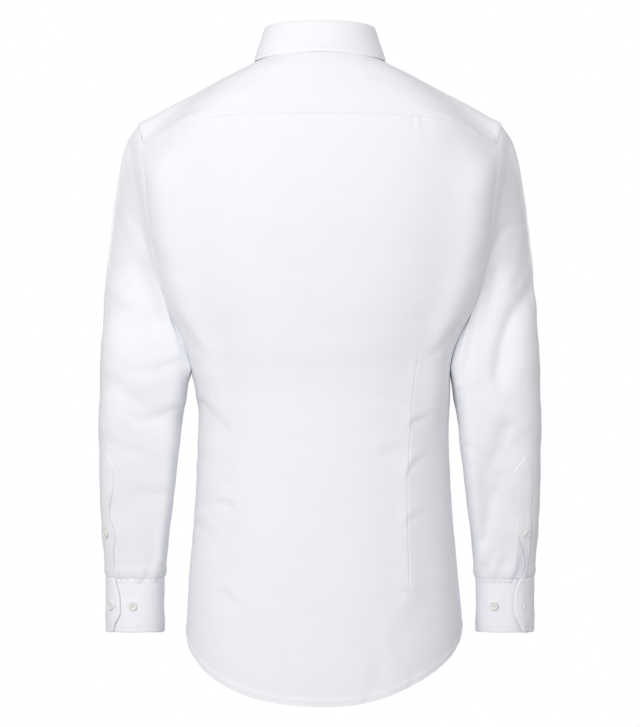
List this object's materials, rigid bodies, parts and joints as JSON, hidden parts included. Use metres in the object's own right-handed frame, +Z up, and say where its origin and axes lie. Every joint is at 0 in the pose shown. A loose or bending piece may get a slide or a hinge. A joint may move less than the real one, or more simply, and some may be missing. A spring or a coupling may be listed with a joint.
{
  "type": "long sleeve dress shirt",
  "caption": "White long sleeve dress shirt, filled out, with a turned-down collar, back yoke, waist darts, curved hem, buttoned front and cuffs.",
  "frame": {"origin": "middle of the neck opening, at the height where the shoulder line meets the collar", "axes": "+Z up, +Y towards the back of the shirt, +X towards the wearer's left"},
  "size_m": [0.5318, 0.2529, 0.8095],
  "materials": {
    "shirt_cotton": "smooth fine white cotton with a faint sheen",
    "interlined_cotton": "the same white cotton, interlined and pressed flat, topstitched near its edges",
    "pearl_button": "cream pearl look, softly glossy, four holes sewn with white thread"
  },
  "bodies": {
    "root": {"back": "shirt_cotton", "yoke": "shirt_cotton", "left_front": "shirt_cotton", "right_front": "shirt_cotton", "collar_stand": "interlined_cotton", "collar_leaf": "interlined_cotton", "left_sleeve": "shirt_cotton", "left_sleeve_placket": "shirt_cotton", "left_under_placket": "shirt_cotton", "left_cuff": "interlined_cotton", "right_sleeve": "shirt_cotton", "right_sleeve_placket": "shirt_cotton", "right_under_placket": "shirt_cotton", "right_cuff": "interlined_cotton", "left_cuff_button_1": "pearl_button", "left_cuff_button_2": "pearl_button", "left_placket_button": "pearl_button", "right_cuff_button_1": "pearl_button", "right_cuff_button_2": "pearl_button", "right_placket_button": "pearl_button", "front_button_1": "pearl_button", "front_button_2": "pearl_button", "front_button_3": "pearl_button", "front_button_4": "pearl_button", "front_button_5": "pearl_button", "front_button_6": "pearl_button", "stand_button": "pearl_button"}
  },
  "joints": []
}
